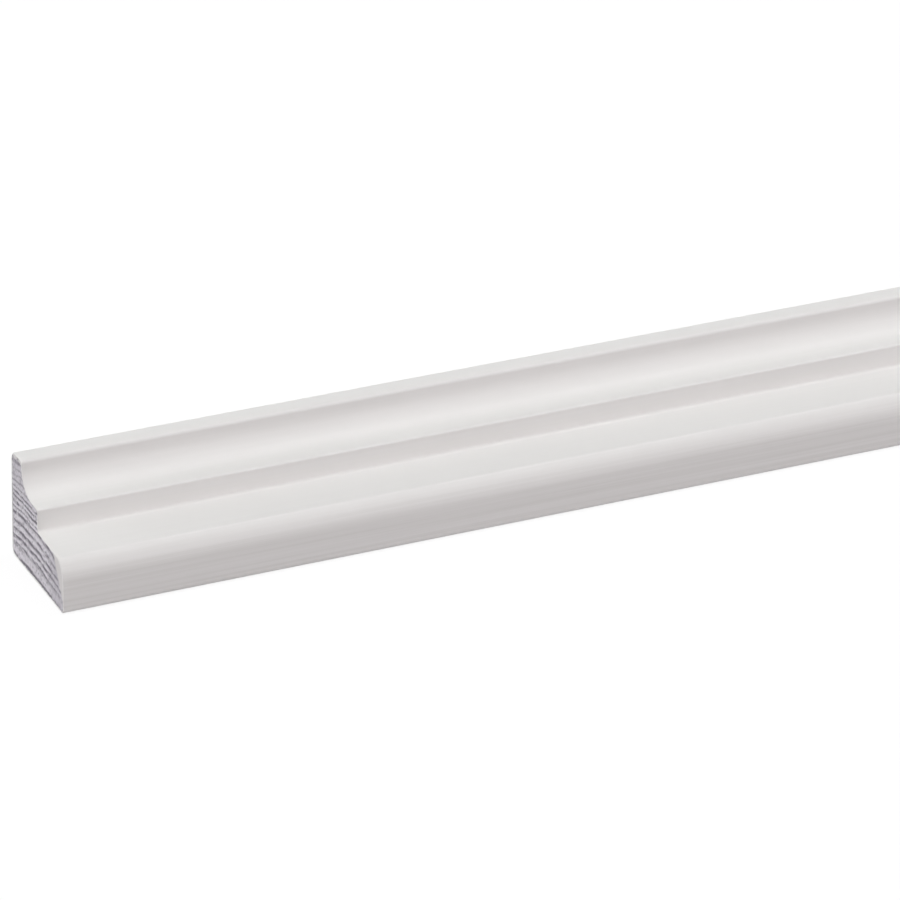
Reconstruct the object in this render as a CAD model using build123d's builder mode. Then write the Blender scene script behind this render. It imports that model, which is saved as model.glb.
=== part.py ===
"""Cornice moulding: one length of planed softwood, moulded on the face and primed white.

The bar lies as it is stored, on its flat base with its wall face upright. X runs along the bar,
the moulded face looks towards -Y, the wall face is at +Y, and the base is on Z = 0.
"""
import os
from build123d import *

# Bar, as it is sold
moulding_length = 2400.0

# Section: the members from the top edge down to the base, measured to their sharp corners
top_width = 5.4           # flat top edge, from the wall face to the upper face
upper_rise = 6.3          # upright face between the top and the upper ledge
upper_ledge_width = 8.0   # level ledge, from the upper face out to the step
step_rise = 4.6           # upright face of the step
lower_ledge_width = 10.2  # ledge from the step out to the ovolo
lower_ledge_fall = 0.3    # how far that ledge slopes down to the front
ovolo_width = 2.4         # how far the round front stands out from the ledge
ovolo_height = 4.4        # round front, from the ledge down to the nose
nose_height = 6.4         # plain upright strip at the foot of the round

# Hollows, soft shoulder and eased arrises, as the cutter and the sanding brush leave them
cove_radius = 4.8
foot_radius = 0.7
shoulder_radius = 0.8
top_back_arris = 2.0
base_back_arris = 1.6
base_front_arris = 1.2
top_front_arris = 0.7
step_arris = 0.4

# Faces and levels that follow from the members
step_face = top_width + upper_ledge_width
shoulder_face = step_face + lower_ledge_width
front_face = shoulder_face + ovolo_width
shoulder_level = nose_height + ovolo_height
foot_level = shoulder_level + lower_ledge_fall
upper_level = foot_level + step_rise
top_level = upper_level + upper_rise

# The section is drawn as seen on the cut end: depth from the wall face, height from the base
section_plane = Plane(origin=(0, front_face / 2, 0), x_dir=(0, -1, 0), z_dir=(-1, 0, 0))

os.makedirs("parts", exist_ok=True)

with BuildPart() as cornice_moulding:
    with BuildSketch(section_plane) as section:
        with BuildLine():
            Polyline(
                (front_face, nose_height),
                (front_face, 0),
                (0, 0),
                (0, top_level),
                (top_width, top_level),
                (top_width, upper_level),
                (step_face, upper_level),
                (step_face, foot_level),
                (shoulder_face, shoulder_level),
            )
            TangentArc(
                (front_face, nose_height),
                (shoulder_face, shoulder_level),
                tangent=(0, 1),
            )
        make_face()
        rounded_corners = [
            ((0, top_level), top_back_arris),
            ((0, 0), base_back_arris),
            ((front_face, 0), base_front_arris),
            ((top_width, top_level), top_front_arris),
            ((top_width, upper_level), cove_radius),
            ((step_face, upper_level), step_arris),
            ((step_face, foot_level), foot_radius),
            ((shoulder_face, shoulder_level), shoulder_radius),
        ]
        for corner, radius in rounded_corners:
            fillet(section.vertices().sort_by_distance(corner)[0], radius)
    extrude(amount=moulding_length / 2, both=True)

cornice_moulding.part.label = "cornice_moulding"
export_step(cornice_moulding.part, "parts/cornice_moulding.step")
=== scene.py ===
"""A length of primed cornice moulding on a white studio floor, seen from its sawn end."""
import math

import bmesh
import bpy
from mathutils import Matrix, Vector, kdtree


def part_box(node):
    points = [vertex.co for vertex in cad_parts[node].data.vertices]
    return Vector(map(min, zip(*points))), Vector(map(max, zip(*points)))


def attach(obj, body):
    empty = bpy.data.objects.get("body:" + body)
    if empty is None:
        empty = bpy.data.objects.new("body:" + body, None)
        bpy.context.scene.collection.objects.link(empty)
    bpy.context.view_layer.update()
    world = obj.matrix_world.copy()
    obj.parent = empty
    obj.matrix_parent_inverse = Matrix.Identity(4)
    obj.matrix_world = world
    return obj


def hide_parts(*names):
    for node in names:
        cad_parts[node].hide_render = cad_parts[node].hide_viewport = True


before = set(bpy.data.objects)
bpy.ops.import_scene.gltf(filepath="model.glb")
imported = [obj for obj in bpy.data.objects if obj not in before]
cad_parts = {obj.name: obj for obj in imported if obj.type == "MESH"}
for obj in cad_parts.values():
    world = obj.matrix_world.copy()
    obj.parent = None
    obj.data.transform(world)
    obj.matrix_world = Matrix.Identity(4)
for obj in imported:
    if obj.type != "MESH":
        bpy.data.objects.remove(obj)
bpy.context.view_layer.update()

# Moulded bar
# One length of planed pine. The moulding machine cut the members of its face and eased its arrises,
# and it was primed white all round before it was sawn to length, so its two ends are bare wood.
MM = 0.001
bar_low, bar_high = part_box("cornice_moulding")
bar_height = bar_high.z - bar_low.z
half_length = (bar_high.x - bar_low.x) / 2

top_width = 5.4 * MM
upper_rise = 6.3 * MM
upper_ledge_width = 8.0 * MM
step_rise = 4.6 * MM
lower_ledge_width = 10.2 * MM
lower_ledge_fall = 0.3 * MM
ovolo_width = 2.4 * MM
ovolo_height = 4.4 * MM
nose_height = 6.4 * MM
cove_radius = 4.8 * MM
foot_radius = 0.7 * MM
shoulder_radius = 0.8 * MM
top_back_arris = 2.0 * MM
base_back_arris = 1.6 * MM
base_front_arris = 1.2 * MM
top_front_arris = 0.7 * MM
step_arris = 0.4 * MM

# The lower ledge falls a little to the front, so its hollow turns less than a quarter
quarter = math.radians(90)
ledge_slope = math.atan2(lower_ledge_fall, lower_ledge_width)
ledge_run = math.hypot(lower_ledge_fall, lower_ledge_width)
foot_turn = quarter - ledge_slope
foot_set_back = foot_radius * math.tan(foot_turn / 2)

# The ovolo is one arc, upright at the nose. The soft shoulder touches it and the ledge, so the
# shoulder's centre lies one radius under the ledge and one radius inside the arc.
ovolo_radius = (ovolo_width ** 2 + ovolo_height ** 2) / (2 * ovolo_width)
ledge_line = Vector((math.cos(ledge_slope), -math.sin(ledge_slope)))
below_ledge = Vector((ledge_line.y, -ledge_line.x)) * shoulder_radius
below_corner = Vector((ovolo_radius - ovolo_width, ovolo_height)) + below_ledge
ahead_of_arc = below_corner.dot(ledge_line)
inner_radius = ovolo_radius - shoulder_radius
shoulder_set_back = ahead_of_arc - math.sqrt(
    ahead_of_arc ** 2 + inner_radius ** 2 - below_corner.length_squared)
shoulder_centre = below_corner - ledge_line * shoulder_set_back
ovolo_turn = math.atan2(shoulder_centre.y, shoulder_centre.x)

# Members in turn from the base, up the back and down the face: a length or a radius, and a turn
members = [
    (base_back_arris, quarter),
    (bar_height - base_back_arris - top_back_arris, 0),
    (top_back_arris, quarter),
    (top_width - top_back_arris - top_front_arris, 0),
    (top_front_arris, quarter),
    (upper_rise - top_front_arris - cove_radius, 0),
    (cove_radius, -quarter),
    (upper_ledge_width - cove_radius - step_arris, 0),
    (step_arris, quarter),
    (step_rise - step_arris - foot_set_back, 0),
    (foot_radius, -foot_turn),
    (ledge_run - foot_set_back - shoulder_set_back, 0),
    (shoulder_radius, foot_turn - ovolo_turn),
    (ovolo_radius, ovolo_turn),
    (nose_height - base_front_arris, 0),
    (base_front_arris, quarter),
]

# The base is a plane of the bar's length, and the section is drawn on from its back edge
hair = 0.01 * MM
end_arris = 0.25 * MM
base_back = bar_high.y - base_back_arris
base_front = bar_low.y + base_front_arris
bpy.ops.object.select_all(action="DESELECT")
bpy.ops.mesh.primitive_plane_add(size=2, enter_editmode=True)
bar = bpy.context.object
bar.name = "primed_moulding"
bpy.ops.transform.resize(value=(half_length - end_arris, (base_back - base_front) / 2, 1))
bpy.ops.transform.translate(value=(0, (base_back + base_front) / 2, bar_low.z))


def select(kind, wanted):
    """Selects only the verts, edges or faces of the mesh in edit mode that are wanted."""
    shape = bmesh.from_edit_mesh(bpy.context.object.data)
    bpy.ops.mesh.select_mode(type={"verts": "VERT", "edges": "EDGE", "faces": "FACE"}[kind])
    bpy.ops.mesh.select_all(action="DESELECT")
    for item in getattr(shape, kind):
        item.select_set(bool(wanted(item)))
    shape.select_flush_mode()
    bmesh.update_edit_mesh(bpy.context.object.data)


facet_width = 0.25 * MM
fewest_facets = 8
select("edges", lambda edge: all(vert.co.y > base_back - hair for vert in edge.verts))
pen = Vector((0, base_back, bar_low.z))
heading = 0.0
for size, turn in members:
    ahead = Vector((0, math.cos(heading), math.sin(heading)))
    if turn == 0:
        bpy.ops.mesh.extrude_edges_move(TRANSFORM_OT_translate={"value": ahead * size})
        pen = pen + ahead * size
    else:
        aside = Vector((0, -ahead.z, ahead.y)) * math.copysign(size, turn)
        centre = pen + aside
        facets = max(fewest_facets, math.ceil(size * abs(turn) / facet_width))
        bpy.ops.mesh.spin(steps=facets, angle=-turn, center=centre, axis=(1, 0, 0))
        pen = centre + Matrix.Rotation(turn, 3, "X") @ -aside
        heading += turn
bpy.ops.mesh.select_all(action="SELECT")
bpy.ops.mesh.remove_doubles(threshold=hair)
bpy.ops.mesh.fill_holes(sides=0)
bpy.ops.mesh.select_all(action="SELECT")
bpy.ops.mesh.normals_make_consistent(inside=False)

# The saw leaves a small worn arris round each end
facing_endwise = 0.99
arris_facets = 4
leans = [quarter * facet / arris_facets for facet in range(arris_facets + 1)]
select("faces", lambda face: abs(face.normal.x) > facing_endwise)
for lean, next_lean in zip(leans, leans[1:]):
    bpy.ops.mesh.inset(
        thickness=end_arris * (math.cos(lean) - math.cos(next_lean)),
        depth=end_arris * (math.sin(next_lean) - math.sin(lean)),
    )

# The two sawn faces are cut into a fine net that can take the relief of the growth rings
net_pitch = 0.2 * MM


def is_sawn(face):
    """True for a face of the sawn ends."""
    on_cut = abs(face.calc_center_median().x) > half_length - hair
    return on_cut and abs(face.normal.x) > facing_endwise


for axis in (1, 2):
    across = Vector((0, 0, 0))
    across[axis] = 1
    span = bar_high[axis] - bar_low[axis]
    lines = round(span / net_pitch)
    for line in range(1, lines):
        select("faces", is_sawn)
        level = bar_low[axis] + line * span / lines
        bpy.ops.mesh.bisect(plane_co=across * level, plane_no=across)

# The bar's first material is its primer, and the second is the bare wood of the sawn faces
sharp_angle = math.radians(30)
select("faces", is_sawn)
bpy.ops.object.material_slot_add()
bpy.ops.object.material_slot_add()
bar.active_material_index = 1
bpy.ops.object.material_slot_assign()
bpy.ops.object.mode_set(mode="OBJECT")
bpy.ops.object.shade_smooth_by_angle(angle=sharp_angle)

# How far each point of a sawn face is from the edges that look up, where paint has run over. Along
# these edges the pale band is also a painted highlight for the light their rounded arris catches.
looking_up = 0.1
painted = {vert for face in bar.data.polygons if face.material_index == 0 for vert in face.vertices}
outline = kdtree.KDTree(len(painted))
for vert in painted:
    point = bar.data.vertices[vert]
    if abs(point.co.x) > half_length - hair and point.normal.z > looking_up:
        outline.insert(point.co, vert)
outline.balance()
from_outline = bar.data.attributes.new("from_outline", "FLOAT", "POINT")
for vert in bar.data.vertices:
    from_outline.data[vert.index].value = outline.find(vert.co)[2]

# White primer
# A satin water-based primer, sprayed and brushed out along the bar on planed pine. To the eye it is
# an even warm white with a soft sheen, and faint lines along the bar, plainest on its upright front.
streak_length = 90 * MM
streak_width = 0.6 * MM
streak_depth = 0.02 * MM
streak_fade = 3 * MM
faint_streaks = 0.15
noise_mean = 0.5
primer_tones = [(0.3, "#E8E7E5"), (0.7, "#F2F1F0")]
shoulder_level = nose_height + ovolo_height


def linear(code):
    """The linear colour of an sRGB hex code."""
    parts = [int(code[place:place + 2], 16) / 255 for place in (1, 3, 5)]
    return [part / 12.92 if part <= 0.04045 else ((part + 0.055) / 1.055) ** 2.4 for part in parts] + [1]


def add(tree, kind, inputs=None, **settings):
    """Adds a node with its settings, and fills or links its inputs."""
    node = tree.nodes.new(kind)
    for name, value in settings.items():
        setattr(node, name, value)
    for name, value in (inputs or {}).items():
        if isinstance(value, bpy.types.NodeSocket):
            tree.links.new(value, node.inputs[name])
        else:
            node.inputs[name].default_value = value
    return node


primer = bpy.data.materials.new("satin_white_primer")
primer.use_nodes = True
tree = primer.node_tree
shader = tree.nodes["Principled BSDF"]
shader.inputs["Roughness"].default_value = 0.5
shader.inputs["IOR"].default_value = 1.5
place = add(tree, "ShaderNodeTexCoord").outputs["Object"]
drawn = add(tree, "ShaderNodeMapping", {
    "Vector": place,
    "Scale": (1 / streak_length, 1 / streak_width, 1 / streak_width),
}).outputs["Vector"]
streaks = add(tree, "ShaderNodeTexNoise", {
    "Vector": drawn,
    "Scale": 1.0,
    "Detail": 3.0,
    "Roughness": 0.6,
}).outputs["Fac"]

# The lines are plain below the shoulder and faint above it
height = add(tree, "ShaderNodeSeparateXYZ", {"Vector": place}).outputs["Z"]
shown = add(tree, "ShaderNodeMapRange", {
    "Value": height,
    "From Min": shoulder_level,
    "From Max": shoulder_level - streak_fade,
    "To Min": faint_streaks,
}).outputs["Result"]
swing = add(tree, "ShaderNodeMath", {
    0: streaks,
    1: noise_mean,
}, operation="SUBTRACT").outputs["Value"]
drag = add(tree, "ShaderNodeMath", {
    0: swing,
    1: shown,
    2: noise_mean,
}, operation="MULTIPLY_ADD").outputs["Value"]
tone = add(tree, "ShaderNodeValToRGB", {"Fac": drag})
for stop, (position, code) in zip(tone.color_ramp.elements, primer_tones):
    stop.position = position
    stop.color = linear(code)
tree.links.new(tone.outputs["Color"], shader.inputs["Base Color"])
tracks = add(tree, "ShaderNodeBump", {"Height": drag, "Strength": 0.4, "Distance": streak_depth})
tree.links.new(tracks.outputs["Normal"], shader.inputs["Normal"])

# Sawn pine end
# Bare end grain off the saw. To the eye it is pale mauve-grey wood with uneven dark latewood lines,
# broken up by torn fibres, darker and more pitted along the base and the back, and pale on its
# moulded edge: paint run over it, and a painted highlight where the edge looks up.
pith = Vector((0, bar_high.y - 12 * MM, -85 * MM))
# Latewood lines up the middle of the end: height over the base in mm, and how dark the line is
latewood = [
    (0.4, 0.9), (3.7, 0.65), (5.1, 0.95), (6.6, 0.85), (8.4, 0.7), (10.3, 1.0), (11.3, 0.6), (12.4, 0.95),
    (13.6, 0.8), (14.6, 0.75), (15.6, 0.6), (16.8, 0.65), (18.1, 0.6), (19.4, 0.6), (20.7, 0.65),
]
ring_waver = 1.6 * MM
waver_length = 6 * MM
fibre_width = 0.7 * MM
fibre_squeeze = (1, 0.3, 1)
pit_width = 0.55 * MM
pit_darkness = 0.5
mean_dark = 0.42
smeared_swing = 0.5
end_shift = 40 * MM


def growth_rings(tree, place):
    """Adds the end grain at a place: how dark it is, and how much of it is pitted, more so along the base
    and the back.
    """
    parts = add(tree, "ShaderNodeSeparateXYZ", {"Vector": place}).outputs
    across = add(tree, "ShaderNodeCombineXYZ", {"Y": parts["Y"], "Z": parts["Z"]}).outputs["Vector"]

    # The flaws of one end lie far along the noise from those of the other
    end = add(tree, "ShaderNodeMath", {0: parts["X"]}, operation="SIGN").outputs["Value"]
    shift = add(tree, "ShaderNodeMath", {0: end, 1: end_shift}, operation="MULTIPLY").outputs["Value"]
    spot = add(tree, "ShaderNodeCombineXYZ", {
        "X": shift,
        "Y": parts["Y"],
        "Z": parts["Z"],
    }).outputs["Vector"]

    # Rings round the pith, wavering, with a line of latewood in each
    radius = add(tree, "ShaderNodeVectorMath", {0: across, 1: pith}, operation="DISTANCE").outputs["Value"]
    waver = add(tree, "ShaderNodeTexNoise", {"Vector": spot, "Scale": 1 / waver_length, "Detail": 3.0})
    bent = add(tree, "ShaderNodeMath", {
        0: waver.outputs["Fac"],
        1: ring_waver,
        2: radius,
    }, operation="MULTIPLY_ADD").outputs["Value"]
    rise = add(tree, "ShaderNodeMapRange", {
        "Value": bent,
        "From Min": ring_waver / 2 - pith.z,
        "From Max": ring_waver / 2 - pith.z + bar_height,
    }).outputs["Result"]
    rings = add(tree, "ShaderNodeValToRGB", {"Fac": rise})
    stops = rings.color_ramp.elements
    for ring, (height, darkness) in enumerate(latewood):
        line = stops.new(height * MM / bar_height)
        line.color = (darkness, darkness, darkness, 1)
        if ring > 0:
            pale = stops.new((height + latewood[ring - 1][0]) / 2 * MM / bar_height)
            pale.color = (0, 0, 0, 1)
    stops.remove(stops[len(stops) - 1])
    stops.remove(stops[0])
    late = add(tree, "ShaderNodeMapRange", {
        "Value": rings.outputs["Color"],
        "From Min": 0.2,
        "From Max": 0.8,
    }, interpolation_type="SMOOTHSTEP").outputs["Result"]

    # Fibres torn along the rings, and pits where they broke off
    along = add(tree, "ShaderNodeVectorMath", {
        0: spot,
        1: fibre_squeeze,
    }, operation="MULTIPLY").outputs["Vector"]
    dashes = add(tree, "ShaderNodeTexNoise", {"Vector": along, "Scale": 1 / fibre_width, "Detail": 2.0})
    whole = add(tree, "ShaderNodeMapRange", {
        "Value": dashes.outputs["Fac"],
        "From Min": 0.34,
        "From Max": 0.6,
        "To Min": 0.25,
    }, interpolation_type="SMOOTHSTEP").outputs["Result"]
    line = add(tree, "ShaderNodeMath", {0: late, 1: whole}, operation="MULTIPLY").outputs["Value"]
    specks = add(tree, "ShaderNodeTexNoise", {"Vector": spot, "Scale": 1 / pit_width, "Detail": 2.0})
    pits = add(tree, "ShaderNodeMapRange", {
        "Value": specks.outputs["Fac"],
        "From Min": 0.46,
        "From Max": 0.72,
    }, interpolation_type="SMOOTHSTEP").outputs["Result"]

    # Darker and more pitted along the base and the back
    low = add(tree, "ShaderNodeMapRange", {
        "Value": parts["Z"],
        "From Min": bar_low.z + 1.6 * MM,
        "From Max": bar_low.z + 0.4 * MM,
    }).outputs["Result"]
    back = add(tree, "ShaderNodeMapRange", {
        "Value": parts["Y"],
        "From Min": bar_high.y - 0.8 * MM,
        "From Max": bar_high.y - 0.2 * MM,
    }).outputs["Result"]
    rim = add(tree, "ShaderNodeMath", {0: low, 1: back}, operation="MAXIMUM").outputs["Value"]
    ragged = add(tree, "ShaderNodeMapRange", {
        "Value": specks.outputs["Fac"],
        "From Min": 0.34,
        "From Max": 0.56,
        "To Max": 1.5,
    }).outputs["Result"]
    base_back_specks = add(tree, "ShaderNodeMath", {0: rim, 1: ragged}, operation="MULTIPLY").outputs["Value"]
    pitted = add(tree, "ShaderNodeMath", {0: pits, 1: base_back_specks}, operation="MAXIMUM").outputs["Value"]
    dark = add(tree, "ShaderNodeMath", {
        0: pitted,
        1: pit_darkness,
        2: line,
    }, operation="MULTIPLY_ADD", use_clamp=True).outputs["Value"]

    # Towards the top and the front the saw smeared the grain, so it swings less about its mean
    swing = add(tree, "ShaderNodeMath", {0: dark, 1: mean_dark}, operation="SUBTRACT").outputs["Value"]
    high = add(tree, "ShaderNodeMapRange", {
        "Value": parts["Z"],
        "From Min": bar_low.z + 13 * MM,
        "From Max": bar_low.z + 17 * MM,
        "To Min": 1.0,
        "To Max": smeared_swing,
    }).outputs["Result"]
    fore = add(tree, "ShaderNodeMapRange", {
        "Value": parts["Y"],
        "From Min": bar_low.y + 9 * MM,
        "From Max": bar_low.y + 4 * MM,
        "To Min": 1.0,
        "To Max": smeared_swing,
    }).outputs["Result"]
    crisp = add(tree, "ShaderNodeMath", {0: high, 1: fore}, operation="MINIMUM").outputs["Value"]
    grain = add(tree, "ShaderNodeMath", {
        0: swing,
        1: crisp,
        2: mean_dark,
    }, operation="MULTIPLY_ADD").outputs["Value"]
    return grain, pitted


blot_width = 1.0 * MM
side_run = 0.9 * MM
top_reach = 0.6 * MM
spray_angle = math.radians(30)
spray_aim = Vector((0, -math.cos(spray_angle), math.sin(spray_angle)))
spray_line = 12.2 * MM
spray_blot = 0.8 * MM


def edge_paint_and_highlight(tree, distance, place):
    """Adds how much of a sawn end is paint run over the moulded edge, with a painted highlight where it
    looks up.
    """
    parts = add(tree, "ShaderNodeSeparateXYZ", {"Vector": place}).outputs
    top = add(tree, "ShaderNodeMapRange", {
        "Value": parts["Z"],
        "From Min": bar_high.z - 2.0 * MM,
        "From Max": bar_high.z - 0.8 * MM,
        "To Max": top_reach,
    }).outputs["Result"]
    blots = add(tree, "ShaderNodeTexNoise", {
        "Vector": place,
        "Scale": 1 / blot_width,
        "Detail": 3.0,
    }).outputs["Fac"]
    reach = add(tree, "ShaderNodeMath", {
        0: blots,
        1: side_run,
        2: top,
    }, operation="MULTIPLY_ADD").outputs["Value"]
    bare = add(tree, "ShaderNodeMath", {0: distance, 1: reach}, operation="SUBTRACT").outputs["Value"]
    # Near the edges that look up: paint run over them, and a painted highlight for the light they catch
    paint_run_and_highlight = add(tree, "ShaderNodeMapRange", {
        "Value": bare,
        "From Min": 0.15 * MM,
        "From Max": -0.2 * MM,
    }, interpolation_type="SMOOTHSTEP").outputs["Result"]

    # The spray also reached the corner in front of a line from the shoulder down to the nose
    ahead = add(tree, "ShaderNodeVectorMath", {
        0: place,
        1: spray_aim,
    }, operation="DOT_PRODUCT").outputs["Value"]
    mist = add(tree, "ShaderNodeMath", {
        0: blots,
        1: spray_blot,
        2: ahead,
    }, operation="MULTIPLY_ADD").outputs["Value"]
    sprayed = add(tree, "ShaderNodeMapRange", {
        "Value": mist,
        "From Min": spray_line + 0.1 * MM,
        "From Max": spray_line + 0.9 * MM,
    }, interpolation_type="SMOOTHSTEP").outputs["Result"]
    return add(tree, "ShaderNodeMath", {0: paint_run_and_highlight, 1: sprayed}, operation="MAXIMUM").outputs["Value"]


# Relief of the sawn faces: the dark lines and the torn pits lie a little below the saw cut
line_depth = 0.13 * MM
pit_share = 0.7
relief = bpy.data.node_groups.new("sawn_relief", "GeometryNodeTree")
relief.interface.new_socket("Geometry", in_out="INPUT", socket_type="NodeSocketGeometry")
relief.interface.new_socket("Geometry", in_out="OUTPUT", socket_type="NodeSocketGeometry")
place = add(relief, "GeometryNodeInputPosition").outputs["Position"]
dark, pitted = growth_rings(relief, place)
worn = add(relief, "ShaderNodeMath", {
    0: pitted,
    1: pit_share,
    2: dark,
}, operation="MULTIPLY_ADD").outputs["Value"]
edge = add(relief, "GeometryNodeInputNamedAttribute", {"Name": "from_outline"}, data_type="FLOAT")
paint_and_highlight = edge_paint_and_highlight(relief, edge.outputs["Attribute"], place)
bare = add(relief, "ShaderNodeMath", {0: 1.0, 1: paint_and_highlight}, operation="SUBTRACT").outputs["Value"]
depth = add(relief, "ShaderNodeMath", {0: worn, 1: bare}, operation="MULTIPLY").outputs["Value"]
ends = add(relief, "ShaderNodeSeparateXYZ", {"Vector": place}).outputs["X"]
side = add(relief, "ShaderNodeMath", {0: ends}, operation="SIGN").outputs["Value"]
inward = add(relief, "ShaderNodeMath", {0: side, 1: -line_depth}, operation="MULTIPLY").outputs["Value"]
sunk = add(relief, "ShaderNodeMath", {0: depth, 1: inward}, operation="MULTIPLY").outputs["Value"]
out = add(relief, "ShaderNodeMath", {0: ends}, operation="ABSOLUTE").outputs["Value"]
on_cut = add(relief, "ShaderNodeMath", {0: out, 1: half_length - hair}, operation="GREATER_THAN")
moved = add(relief, "GeometryNodeSetPosition", {
    "Geometry": add(relief, "NodeGroupInput").outputs["Geometry"],
    "Selection": on_cut.outputs["Value"],
    "Offset": add(relief, "ShaderNodeCombineXYZ", {"X": sunk}).outputs["Vector"],
})
add(relief, "NodeGroupOutput", {"Geometry": moved.outputs["Geometry"]})
bpy.ops.object.modifier_add(type="NODES")
bar.modifiers[0].node_group = relief
bpy.ops.object.modifier_apply(modifier=bar.modifiers[0].name)

# Colour of the sawn faces: pale earlywood, dark latewood and the greyed white of thin paint, which
# also stands in as a painted highlight on the edges that look up
wood_tones = [(0.0, "#E4E0E7"), (0.85, "#7C7881")]
pale_paint_and_highlight = "#DBD8D8"
fuzz_width = 0.15 * MM
fuzz_depth = 0.03 * MM
sawn = bpy.data.materials.new("sawn_pine_end_grain")
sawn.use_nodes = True
tree = sawn.node_tree
shader = tree.nodes["Principled BSDF"]
shader.inputs["Roughness"].default_value = 0.85
place = add(tree, "ShaderNodeTexCoord").outputs["Object"]
dark, pitted = growth_rings(tree, place)
wood = add(tree, "ShaderNodeValToRGB", {"Fac": dark})
for stop, (position, code) in zip(wood.color_ramp.elements, wood_tones):
    stop.position = position
    stop.color = linear(code)
edge = add(tree, "ShaderNodeAttribute", attribute_name="from_outline").outputs["Fac"]
paint_and_highlight = edge_paint_and_highlight(tree, edge, place)
# The pale white is paint, and along the edges that look up it is a painted highlight too
colour = add(tree, "ShaderNodeMix", {
    0: paint_and_highlight,
    6: wood.outputs["Color"],
    7: linear(pale_paint_and_highlight),
}, data_type="RGBA")
tree.links.new(colour.outputs[2], shader.inputs["Base Color"])
fuzz = add(tree, "ShaderNodeTexNoise", {
    "Vector": place,
    "Scale": 1 / fuzz_width,
    "Detail": 2.0,
}).outputs["Fac"]
fibres = add(tree, "ShaderNodeBump", {"Height": fuzz, "Strength": 0.5, "Distance": fuzz_depth})
tree.links.new(fibres.outputs["Normal"], shader.inputs["Normal"])

bar.material_slots[0].material = primer
bar.material_slots[1].material = sawn
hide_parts("cornice_moulding")
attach(bar, "root")

# Floor
# A plain white studio table, wide enough that its edge is out of sight. The eye sees it as white, and
# the bar's soft shadow stays on it. To the bar itself it sends back as little light as a grey one.
floor_width = 12
bpy.ops.object.select_all(action="DESELECT")
bpy.ops.mesh.primitive_plane_add(size=floor_width, location=(0, 0, bar_low.z))
floor = bpy.context.object
floor.name = "floor"
table = bpy.data.materials.new("white_table")
table.use_nodes = True
tree = table.node_tree
tree.nodes.clear()
pale = add(tree, "ShaderNodeBsdfDiffuse", {"Color": linear("#A0A0A0")})
matt = add(tree, "ShaderNodeBsdfDiffuse", {"Color": linear("#6A6A6A")})
glow = add(tree, "ShaderNodeEmission", {"Color": linear("#FFFFFF"), "Strength": 0.9})
bright = add(tree, "ShaderNodeAddShader", {0: matt.outputs["BSDF"], 1: glow.outputs["Emission"]})


def seen_directly(tree):
    """A factor that is 1 for rays from the camera, also by way of gloss or glass, and 0 for others."""
    ray = add(tree, "ShaderNodeLightPath").outputs
    seen = ray["Is Camera Ray"]
    for way in ("Is Glossy Ray", "Is Transmission Ray"):
        seen = add(tree, "ShaderNodeMath", {0: seen, 1: ray[way]}, operation="MAXIMUM").outputs["Value"]
    return seen


surface = add(tree, "ShaderNodeMixShader", {
    0: seen_directly(tree),
    1: pale.outputs["BSDF"],
    2: bright.outputs["Shader"],
})
add(tree, "ShaderNodeOutputMaterial", {"Surface": surface.outputs["Shader"]})
floor.data.materials.append(table)

# Light
# Three long soft boxes hang over the bar, a long low panel stands before it and one behind it, and a
# panel stands off each end, in a pale room. Only the middle box shows as a sheen on the primer.
bpy.context.scene.view_settings.view_transform = "Standard"
world = bpy.data.worlds.new("studio")
bpy.context.scene.world = world
world.use_nodes = True
tree = world.node_tree
tree.nodes.clear()
room = add(tree, "ShaderNodeBackground", {"Color": linear("#FFFFFF"), "Strength": 0.1})
white = add(tree, "ShaderNodeBackground", {"Color": linear("#FFFFFF"), "Strength": 1.0})
backdrop = add(tree, "ShaderNodeMixShader", {
    0: seen_directly(tree),
    1: room.outputs["Background"],
    2: white.outputs["Background"],
})
add(tree, "ShaderNodeOutputWorld", {"Surface": backdrop.outputs["Shader"]})

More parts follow.
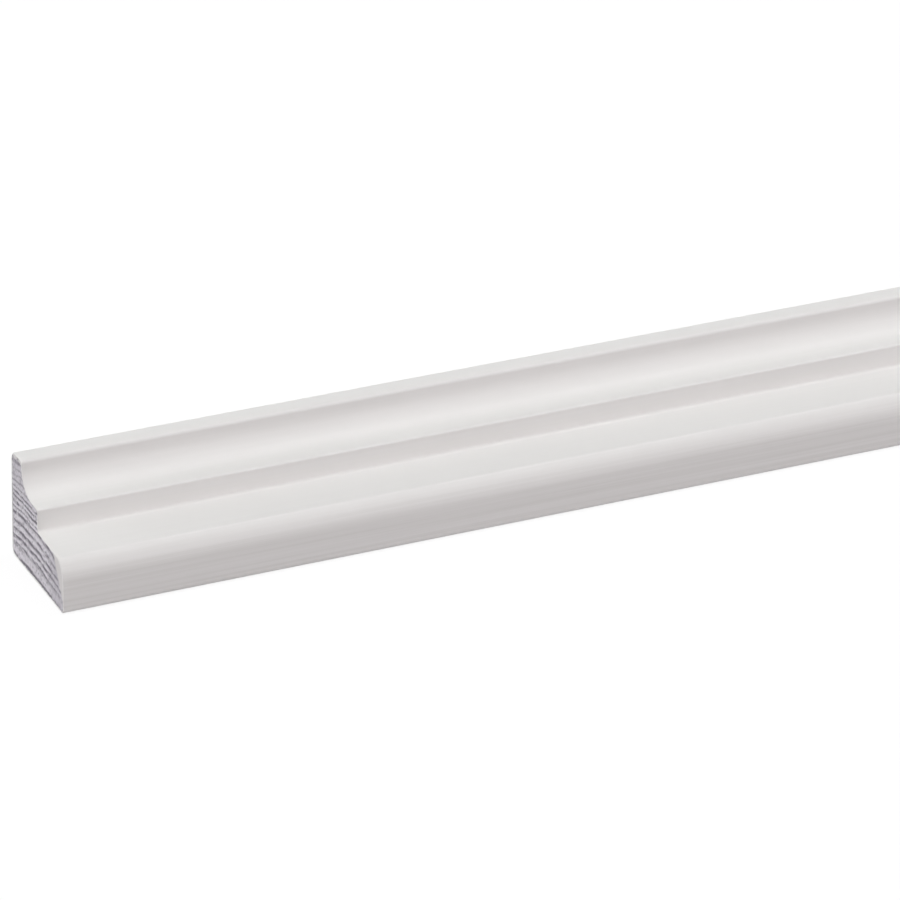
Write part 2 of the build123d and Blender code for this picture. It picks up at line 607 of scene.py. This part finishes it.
# Each lamp's name, place and size in metres, power in watts, tint, and whether it shows in gloss
hung = 1.6
near_end = bar_low.x - 1.8
far_end = bar_high.x + 1.8
soft_lights = [
    ("soft_box", (0, 0, hung), (5.0, 0.4), 29, "#FFFFFF", True),
    ("front_box", (0, -1.2, hung), (5.0, 0.4), 9, "#FFFFFF", False),
    ("back_box", (0, 0.8, hung), (5.0, 0.4), 5, "#FFFFFF", False),
    ("front_panel", (0, -2.6, 0.15), (7.0, 0.3), 44, "#FFF8FA", False),
    ("rear_panel", (0, 2.6, 0.15), (7.0, 0.3), 30, "#FFFFFF", False),
    ("near_end_panel", (near_end, 0.65, 0.3), (1.2, 0.6), 17, "#FFFFFF", False),
    ("far_end_panel", (far_end, 0.65, 0.3), (1.2, 0.6), 17, "#FFFFFF", False),
]
for name, place, size, power, tint, in_gloss in soft_lights:
    bpy.ops.object.light_add(type="AREA", location=place)
    lamp = bpy.context.object
    lamp.name = name
    lamp.data.shape = "RECTANGLE"
    lamp.data.size, lamp.data.size_y = size
    lamp.data.energy = power
    lamp.data.color = linear(tint)[:3]
    lamp.visible_camera = False
    lamp.visible_glossy = in_gloss

    # A box hangs level, and a panel is turned to the nearest point of the bar
    if place[2] < hung:
        nearest = max(bar_low.x, min(place[0], bar_high.x))
        aim = Vector(place) - Vector((nearest, 0, 0))
        lamp.rotation_euler = aim.to_track_quat("Z", "Y").to_euler()

# Camera
# It stands at the photograph's place, turned to the bar and tipped down, with a small roll, and holds
# a long lens.
lens_length = 208.58
sensor_width = 36
camera_place = Vector((bar_low.x - 0.30475, bar_high.y - 0.80688, 0.46958))
turn_right = math.radians(26.1135)
tip_down = math.radians(27.3956)
roll = math.radians(1.7533)
camera_data = bpy.data.cameras.new("camera")
camera_data.lens = lens_length
camera_data.sensor_width = sensor_width
camera = bpy.data.objects.new("camera", camera_data)
bpy.context.scene.collection.objects.link(camera)
look = Matrix.Rotation(-turn_right, 4, "Z")
look = look @ Matrix.Rotation(quarter - tip_down, 4, "X")
look = look @ Matrix.Rotation(roll, 4, "Z")
camera.matrix_world = Matrix.Translation(camera_place) @ look
bpy.context.scene.camera = camera
